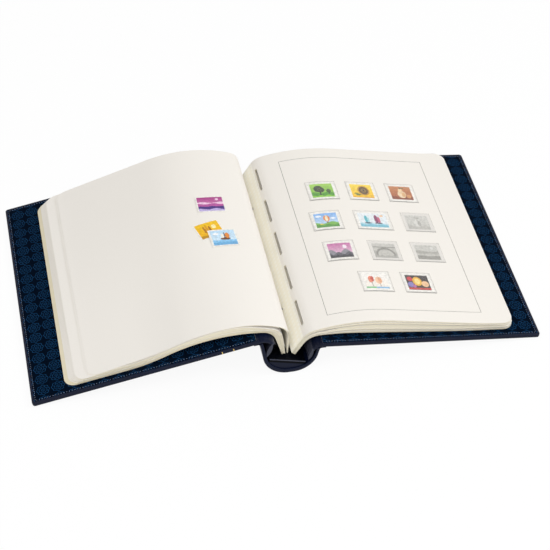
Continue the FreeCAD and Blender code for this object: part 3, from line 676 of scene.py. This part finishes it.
def addMount(bm, station, y, width):  # a pocket of two films welded along its foot
    half, rim, film = printed["mountHeight"] / 2, printed["rim"], printed["film"]
    side = width / 2
    columns = [-side, -side + rim] + spread(-side + rim, side - rim, printed["mountCuts"]) + [side]
    rows = [-half, -half + rim, -half + printed["weld"], 0.0, half - rim, half]
    room, verts = printed["room"], []
    for low, thick, layerRows in ((0.0, film, rows), (film + room, film, rows), (film, room, rows[:3])):
        layer = thicken(bm, gridSheet(bm, columns, layerRows), thick)
        moveBy(bm, layer, (0, 0, low))
        verts += layer
    for face in {face for vert in verts for face in vert.link_faces}:
        place = face.calc_center_median()
        inner = abs(place.x) < side - rim and abs(place.y) < half - rim
        face.material_index = 0 if inner else 1
    moveBy(bm, verts, (station, y, 0))
    laySheet(verts, printed["mountLift"])


mountMesh, stampMesh, printMesh = bmesh.new(), bmesh.new(), bmesh.new()
for y, stations, names in zip(printed["rows"], printed["columns"], mountPictures):
    for station, picture in zip(stations, names):
        width = printed["wideMount"] if picture == "regatta" else printed["mountWidth"]
        addMount(mountMesh, station, y, width)
        grey = picture.startswith("grey")
        margin = printed["printMargin"] if grey else printed["stampMargin"]
        size = (width - 2 * margin, printed["mountHeight"] - 2 * margin)
        target = printMesh if grey else stampMesh
        verts = addStamp(target, picture, *size, 0.0 if grey else printed["stampBorder"])
        moveBy(target, verts, (station, y, 0))
        if grey:
            bmesh.ops.scale(target, verts=verts, vec=(1, 1, printed["inkLift"] / printed["stampThick"]))
        inPocket = printed["mountLift"] + printed["film"] + (printed["room"] - printed["stampThick"]) / 2
        laySheet(verts, printed["printLift"] if grey else inPocket)
makePiece("stamp_mount_films", mountMesh, (clearFilm, filmRim), "printed_leaf", ("stamp_mounts",))
makePiece("mounted_stamp_sheets", stampMesh, (stampPaper,), "printed_leaf", ("mounted_stamps",))
makePiece("grey_place_prints", printMesh, (stampPaper,), "printed_leaf")

# station along the blank leaf, y, size, turn in degrees, lift, curl, picture and slot
looseStamps = {
    "loose_stamp_1": (81.5, 50.0, (32.0, 27.5), 0.0, 0.05, 0.5, "dusk", "magenta_stamp"),
    "loose_stamp_2": (90.0, 6.8, (30.0, 27.5), 15.0, 0.05, 0.0, "wheat", "yellow_stamp"),
    "loose_stamp_3": (76.8, -8.0, (31.0, 27.5), 4.0, 0.2, 0.5, "harbour", "blue_stamp"),
}
for name, (along, y, size, turn, lift, curl, picture, slot) in looseStamps.items():
    bm = bmesh.new()
    verts = addStamp(bm, picture, *size, stamp["looseBorder"])
    bmesh.ops.rotate(bm, verts=verts, matrix=Matrix.Rotation(radians(turn), 3, "Z"))
    for vert in verts:
        rise = leaf["thick"] + lift + curl * (2 * vert.co.x / size[0]) ** 2 + vert.co.z
        station = along - vert.co.x
        vert.co = settleTail(liftFrom(leafPaths[-1][-1][0], station, y + vert.co.y, rise, -1), station)
    makePiece(name + "_sheet", bm, (stampPaper,), "left_leaves", (name,))
print("printed leaf and stamps made")


# Covers: leatherette turned over the edges of a padded board, lining and stitching inside

casing = {"outerRound": 1.9, "innerRound": 0.7, "rim": 2.6, "skin": 0.75, "crown": 1.2, "cuts": 12,
          "liningSink": 0.5, "liningProud": 0.08, "liningRound": 0.25, "liningLap": 0.1, "liningCorner": 1.2,
          "stitchInset": 4.0, "stitchPitch": 2.9, "stitchSize": (1.4, 0.6, 0.4), "hingeEnd": 1.0,
          "goldPlaces": (28.0, 40.0), "goldWidth": 0.9, "goldThick": 0.06}


def placeOnCover(bm, cover):  # from the flat cover: across from the hinge, along the spine, up from the outer face
    slope, side = cover["slope"], cover["side"]
    for vert in bm.verts:
        across, along, up = vert.co
        vert.co = (cover["hinge"][0] + side * (across * cos(slope) + up * sin(slope)), along,
                   cover["hinge"][1] - across * sin(slope) + up * cos(slope))


def edgesAt(bm, test):
    return [edge for edge in bm.edges if all(test(vert.co) for vert in edge.verts)]


def flatSlab(bm, first, last, half, low, high, corner):  # a slab with its two fore-edge corners rounded
    bmesh.ops.create_cube(bm, size=1.0)
    bmesh.ops.scale(bm, vec=(last - first, 2 * half, high - low), verts=bm.verts)
    moveBy(bm, bm.verts, ((first + last) / 2, 0, (low + high) / 2))
    upright = [edge for edge in edgesAt(bm, lambda place: place.x > last - touch)
               if abs(edge.verts[0].co.y - edge.verts[1].co.y) < touch]
    roundEdges(bm, upright, corner, 6)


def outerSkin():  # the leatherette's outer surface, open where the lining lies
    first, last, half, high = casing["hingeEnd"], covers["width"], covers["height"] / 2, covers["thick"]
    bm = bmesh.new()
    flatSlab(bm, first, last, half, 0.0, high, covers["corner"])
    for level, size, segments in ((0.0, casing["outerRound"], 5), (high, casing["innerRound"], 3)):
        roundEdges(bm, edgesAt(bm, lambda place: abs(place.z - level) < touch), size, segments)
    top = max(bm.faces, key=lambda face: face.calc_center_median().z * face.calc_area())
    bmesh.ops.inset_region(bm, faces=[top], thickness=casing["rim"] - casing["innerRound"])
    bmesh.ops.delete(bm, geom=[top], context="FACES_ONLY")
    for place in spread(first, last, casing["cuts"])[:-1]:
        cutAt(bm, (place, 0, 0), (1, 0, 0))
    for place in spread(-half, half, casing["cuts"])[:-1]:
        cutAt(bm, (0, place, 0), (0, 1, 0))
    for vert in bm.verts:
        if vert.co.z < touch:  # the padding swells the outer face
            u = (2 * vert.co.x - first - last) / (last - first)
            v = vert.co.y / half
            vert.co.z -= casing["crown"] * max(1 - u ** 4, 0) * max(1 - v ** 4, 0)
    bmesh.ops.recalc_face_normals(bm, faces=bm.faces)
    return bm


def goldStrip(bm, place):  # a narrow strip of the outer surface, raised by the foil's thickness
    for way in (-1, 1):
        cutAt(bm, (place + way * casing["goldWidth"] / 2, 0, 0), (way, 0, 0), clear_outer=True)
    inside = [face for face in bm.faces if face.calc_center_median().z > covers["thick"] - casing["innerRound"]]
    bmesh.ops.delete(bm, geom=inside, context="FACES")
    bmesh.ops.solidify(bm, geom=bm.faces[:], thickness=-casing["goldThick"])
    return bm


def makeLiningPanel(name, cover):
    bm = bmesh.new()
    inset, high = casing["rim"] - casing["liningLap"], covers["thick"]
    flatSlab(bm, casing["hingeEnd"] + inset, covers["width"] - inset, covers["height"] / 2 - inset,
             high - casing["liningSink"], high + casing["liningProud"], casing["liningCorner"])
    roundEdges(bm, edgesAt(bm, lambda place: place.z > high), casing["liningRound"], 2)
    laid = bm.loops.layers.uv.new("laidFlat")
    for face in bm.faces:
        for loop in face.loops:
            place = loop.vert.co
            loop[laid].uv = (place.x / covers["width"], place.y / covers["height"] + 0.5)
    placeOnCover(bm, cover)
    makePiece(name + "_cover_lining_panel", bm, (lining,), cover["body"],
              (name + "_cover_lining",))


def makeStitching(name, cover):
    bm = bmesh.new()
    inset, pitch = casing["stitchInset"], casing["stitchPitch"]
    first, last, half = covers["hingeGap"] + inset, covers["width"] - inset, covers["height"] / 2 - inset
    level = covers["thick"] + casing["liningProud"]
    runs = [((first, way * half), (last, way * half)) for way in (-1, 1)] + [((last, -half), (last, half))]
    for start, end in runs:
        start, end = Vector((*start, level)), Vector((*end, level))
        count = round((end - start).length / pitch)
        turn = Matrix.Rotation(atan2(end.y - start.y, end.x - start.x), 4, "Z")
        for step in range(count):
            place = Matrix.Translation(start.lerp(end, (step + 0.5) / count))
            shape = place @ turn @ Matrix.Diagonal((*casing["stitchSize"], 1.0))
            bmesh.ops.create_uvsphere(bm, u_segments=6, v_segments=4, radius=0.5, matrix=shape)
    placeOnCover(bm, cover)
    makePiece(name + "_cover_stitching", bm, (stitchThread,), cover["body"])


for name in ("front", "back"):
    cover = covers[name]
    shell = outerSkin()
    if name == "front":
        for number, place in enumerate(casing["goldPlaces"], 1):
            strip = goldStrip(shell.copy(), place)
            placeOnCover(strip, cover)
            makePiece("gold_line_%d" % number, strip, (goldFoil,), cover["body"],
                      ("front_gold_lines",))
    bmesh.ops.solidify(shell, geom=shell.faces[:], thickness=casing["skin"])
    placeOnCover(shell, cover)
    makePiece(name + "_cover_leatherette", shell, (leatherette,), cover["body"],
              (name + "_cover_skin",))
    makeLiningPanel(name, cover)
    makeStitching(name, cover)
    dressNodes(paddingFoam, name + "_cover_padding")
    dressNodes(greyBoard, name + "_cover_board")
print("covers made")


# Spine: a bent band of leatherette with a turned-in lip at head and tail, and a soft strip along each hinge

spine = {"thick": 1.2, "lip": 2.4, "lipSwell": 2.2, "lipDepth": 1.4, "rimRound": 0.5,
         "frontWall": {"angle": 83.0, "radius": 27.0}, "backWall": {"angle": 81.0, "radius": 27.0},
         "cutEvery": 1.6, "hingeRound": 3.0, "hingeReach": 7.0, "hingeLeast": 1.0, "hingeThick": 0.9,
         "stripCut": 0.7, "stripInset": 0.2, "stripRound": 0.25, "stripEdge": 0.12,
         "innerThick": 3.2, "innerTaper": 1.5,
         "frontInner": {"start": (-35.6, 47.3), "lean": 10.9, "straight": 4.0, "radius": 12.46, "turn": -63.0},
         "backInner": {"start": (33.4, 31.5), "lean": 173.0, "straight": 2.4, "radius": 6.42, "turn": 82.8},
         "bed": (-4.3, 12.5), "bedTilt": 14.47, "bedHalf": 19.5, "bedEnd": 157.0, "bedTop": 2.8, "hem": 0.7}


def spineHalf(height, wall):  # lengths and turns from a hinge line down to the table
    steep = radians(wall["angle"])
    drop = height - wall["radius"] * (1 - cos(steep))
    return [(drop / sin(steep), 0.0), (wall["radius"] * steep, wall["angle"])]


def spineWidth(half, wall):  # how far a half reaches sideways from its hinge line
    path = tracePath(0.0, 0.0, -wall["angle"], half)
    return runPoint(path[-1], half[-1][0])[0]


def spinePath():
    frontHinge, backHinge = covers["front"]["hinge"], covers["back"]["hinge"]
    frontWall, backWall = spine["frontWall"], spine["backWall"]
    front, back = spineHalf(frontHinge[1], frontWall), spineHalf(backHinge[1], backWall)
    flat = backHinge[0] - frontHinge[0] - spineWidth(front, frontWall) - spineWidth(back, backWall)
    steps = front + [(flat, 0.0)] + back[::-1]
    return tracePath(*frontHinge, -frontWall["angle"], steps), sum(step[0] for step in steps)


def cutAcross(bm, length, every):  # cuts a flat strip so that it can bend
    for place in spread(0.0, length, int(length / every))[:-1]:
        cutAt(bm, (place, 0, 0), (1, 0, 0))


def makeSpineBand():
    path, length = spinePath()
    half, thick, lip = covers["height"] / 2, spine["thick"], spine["lip"]
    inner = half - spine["lipDepth"]
    outline = ((-half, 0.0), (half, 0.0), (half, lip), (inner, lip), (inner, thick), (-inner, thick), (-inner, lip),
               (-half, lip))
    bm = bmesh.new()
    section = bm.faces.new([bm.verts.new((0.0, y, up)) for y, up in outline])
    made = bmesh.ops.extrude_face_region(bm, geom=[section])["geom"]
    moveBy(bm, vertsIn(made), (length, 0, 0))
    rims = [edge for edge in bm.edges if abs(edge.verts[0].co.x - edge.verts[1].co.x) > 1
            and abs(edge.verts[0].co.y) > half - touch]
    roundEdges(bm, rims, spine["rimRound"], 3)
    cutAcross(bm, length, spine["cutEvery"])
    for vert in bm.verts:
        bottom = 1 - (2 * vert.co.x / length - 1) ** 2
        swell = spine["lipSwell"] * bottom * max(vert.co.z - thick, 0.0) / (lip - thick)
        vert.co = liftFrom(path, vert.co.x, vert.co.y, vert.co.z + swell, 1)
    makePiece("spine_band", bm, (leatherette,), "spine", ("spine_skin",))


def layStrip(name, cover, path, thick, taper):  # a soft strip on a path, bending from spine to cover
    length = sum(run[3] for run in path)
    half = covers["height"] / 2 - spine["stripInset"]
    bm = bmesh.new()
    thicken(bm, gridSheet(bm, (0.0, length), (-half, half)), 1.0)
    moveBy(bm, bm.verts, (0, 0, -0.5))
    ends = [edge for edge in bm.edges if abs(edge.verts[0].co.y - edge.verts[1].co.y) < touch
            and abs(edge.verts[0].co.x - edge.verts[1].co.x) > 1]
    roundEdges(bm, ends, spine["stripRound"], 2)
    cutAcross(bm, length, spine["stripCut"])
    for vert in bm.verts:
        share = min(1.0, min(vert.co.x, length - vert.co.x) / taper + spine["stripEdge"])
        vert.co = liftFrom(path, vert.co.x, vert.co.y, vert.co.z * thick * share, cover["side"])
    strip = makePiece(name, bm, (leatherette,), None, ("spine_skin",))
    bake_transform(strip)


def makeOuterHinge(name):  # the leatherette's bend between the spine wall and the cover's outer face
    cover, wall = covers[name], spine[name + "Wall"]
    side, slope = cover["side"], cover["slope"]
    wallUp = radians(180 - wall["angle"]) if side < 0 else radians(wall["angle"])
    coverOut = pi + slope if side < 0 else -slope
    corner = abs(coverOut - wallUp)
    tangent = spine["hingeRound"] * abs(sin(corner / 2) / cos(corner / 2))
    straight = max(spine["hingeReach"] - tangent, spine["hingeLeast"])
    hinge = Vector((cover["hinge"][0], 0, cover["hinge"][1]))
    start = hinge - (straight + tangent) * direction(wallUp)
    arc = spine["hingeRound"] * corner
    path = tracePath(start.x, start.z, wallUp * 180 / pi,
                     [(straight, 0.0), (arc, (coverOut - wallUp) * 180 / pi), (straight, 0.0)])
    layStrip(name + "_hinge_strip", cover, path, spine["hingeThick"], straight)


def makeInnerHinge(name):  # the padded cloth from the cover's inner edge down to the flap in the spine
    inner = spine[name + "Inner"]
    arc = inner["radius"] * abs(radians(inner["turn"]))
    path = tracePath(*inner["start"], inner["lean"], [(inner["straight"], 0.0), (arc, inner["turn"])])
    layStrip(name + "_inner_hinge", covers[name], path, spine["innerThick"], spine["innerTaper"])


def makeHems():  # the turned edge of the bed's cloth at head and tail, in the lighter hinge cloth as a painted highlight line
    bm = bmesh.new()
    tilt = radians(spine["bedTilt"])
    top = Vector((spine["bed"][0] + spine["bedTop"] * sin(tilt), 0, spine["bed"][1] + spine["bedTop"] * cos(tilt)))
    for way in (-1, 1):
        place = Matrix.Translation(top + Vector((0, way * (spine["bedEnd"] - spine["hem"]), 0)))
        turn = Matrix.Rotation(pi / 2 + tilt, 4, "Y")
        bmesh.ops.create_cone(bm, cap_ends=True, segments=12, radius1=spine["hem"], radius2=spine["hem"],
                              depth=2 * spine["bedHalf"], matrix=place @ turn)
    makePiece("spine_lining_hems", bm, (hingeClothPaintedHighlight,), "spine")


makeSpineBand()
for makeHinge in (makeOuterHinge, makeInnerHinge):
    makeHinge("front")
    makeHinge("back")
makeHems()
dressNodes(leatherette, "spine_filler")
# The spine board and lining wear the near-black cloth as painted shade for the shadowed trough of the spine
dressNodes(bedClothPaintedShade, "spine_board", "spine_lining")
# The hinge flaps get the lighter cloth as a painted highlight on their faces
dressNodes(hingeClothPaintedHighlight, "left_hinge_flap", "right_hinge_flap")
dressNodes(platedSteel, "base_plate", "left_rail", "right_rail", "rail_rivets")
for place in ("lower", "upper"):
    dressNodes(platedSteel, place + "_turn_bar", place + "_bar_clip", place + "_bar_lever")
dressNodes(brass, "bar_bushes")
print("spine and binding made")


# Floor, light and camera

stage = {"floorSize": 6.0, "floorDrop": 0.0006, "white": 0.93,
         "ambient": 0.45, "aim": (0.0, 0.0, 0.03),
         "lamps": {"key_lamp": (72.0, 2.2, (2.8, -1.1, 2.7)), "fill_lamp": (30.0, 1.6, (-0.75, -1.5, 2.6))},
         "cameraPlace": (-0.2832, -1.514, 1.36), "cameraTilt": 48.5, "cameraTurn": -11.1,
         "lens": 121.8, "sensor": 36.0}


def seenDirectly(tree):  # 1 for rays that show the background itself, in view, in a gloss or through a film
    path = addNode(tree, "LightPath", {})
    either = addNode(tree, "Math", {0: path.outputs["Is Camera Ray"], 1: path.outputs["Is Glossy Ray"]},
                     operation="MAXIMUM")
    return addNode(tree, "Math", {0: either, 1: path.outputs["Is Transmission Ray"]}, operation="MAXIMUM")


def makeFloor():
    bm = bmesh.new()
    bmesh.ops.create_grid(bm, x_segments=1, y_segments=1, size=stage["floorSize"] / 2)
    moveBy(bm, bm.verts, (0, 0, -stage["floorDrop"]))
    material, tree, shader = startMaterial("white_paper_floor")[:3]
    setInputs(tree, shader, {"Base Color": "#FFFFFF", "Roughness": 0.95, "Specular IOR Level": 0.0})
    glow = addNode(tree, "Emission", {"Color": "#FFFFFF", "Strength": 1.0})
    share = addNode(tree, "Math", {0: seenDirectly(tree), 1: stage["white"]}, operation="MULTIPLY")
    blend = addNode(tree, "MixShader", {0: share, 1: shader, 2: glow})
    setInputs(tree, tree.nodes["Material Output"], {0: blend})
    floor = addMesh("floor", bm, (material,))


def makeWorld():
    world = bpy.data.worlds.new("white_studio")
    world.use_nodes = True
    tree = world.node_tree
    strength = addNode(tree, "MapRange", {0: seenDirectly(tree), 3: stage["ambient"], 4: 1.0})
    setInputs(tree, tree.nodes["Background"], {"Color": "#FFFFFF", "Strength": strength})
    scene.world = world


def addLamp(name, power, size, place):
    lamp = bpy.data.lights.new(name, "AREA")
    lamp.energy, lamp.size = power, size
    holder = addObject(name, lamp)
    holder.location = place
    holder.rotation_euler = (Vector(stage["aim"]) - Vector(place)).to_track_quat("-Z", "Y").to_euler()


def addCamera():
    camera = bpy.data.cameras.new("camera")
    camera.lens, camera.sensor_width = stage["lens"], stage["sensor"]
    holder = addObject("camera", camera)
    holder.location = stage["cameraPlace"]
    holder.rotation_euler = (radians(stage["cameraTilt"]), 0.0, radians(stage["cameraTurn"]))
    scene.camera = holder


makeFloor()
makeWorld()
for name, lamp in stage["lamps"].items():
    addLamp(name, *lamp)
addCamera()
scene.view_settings.view_transform = "Standard"
print("stage made")
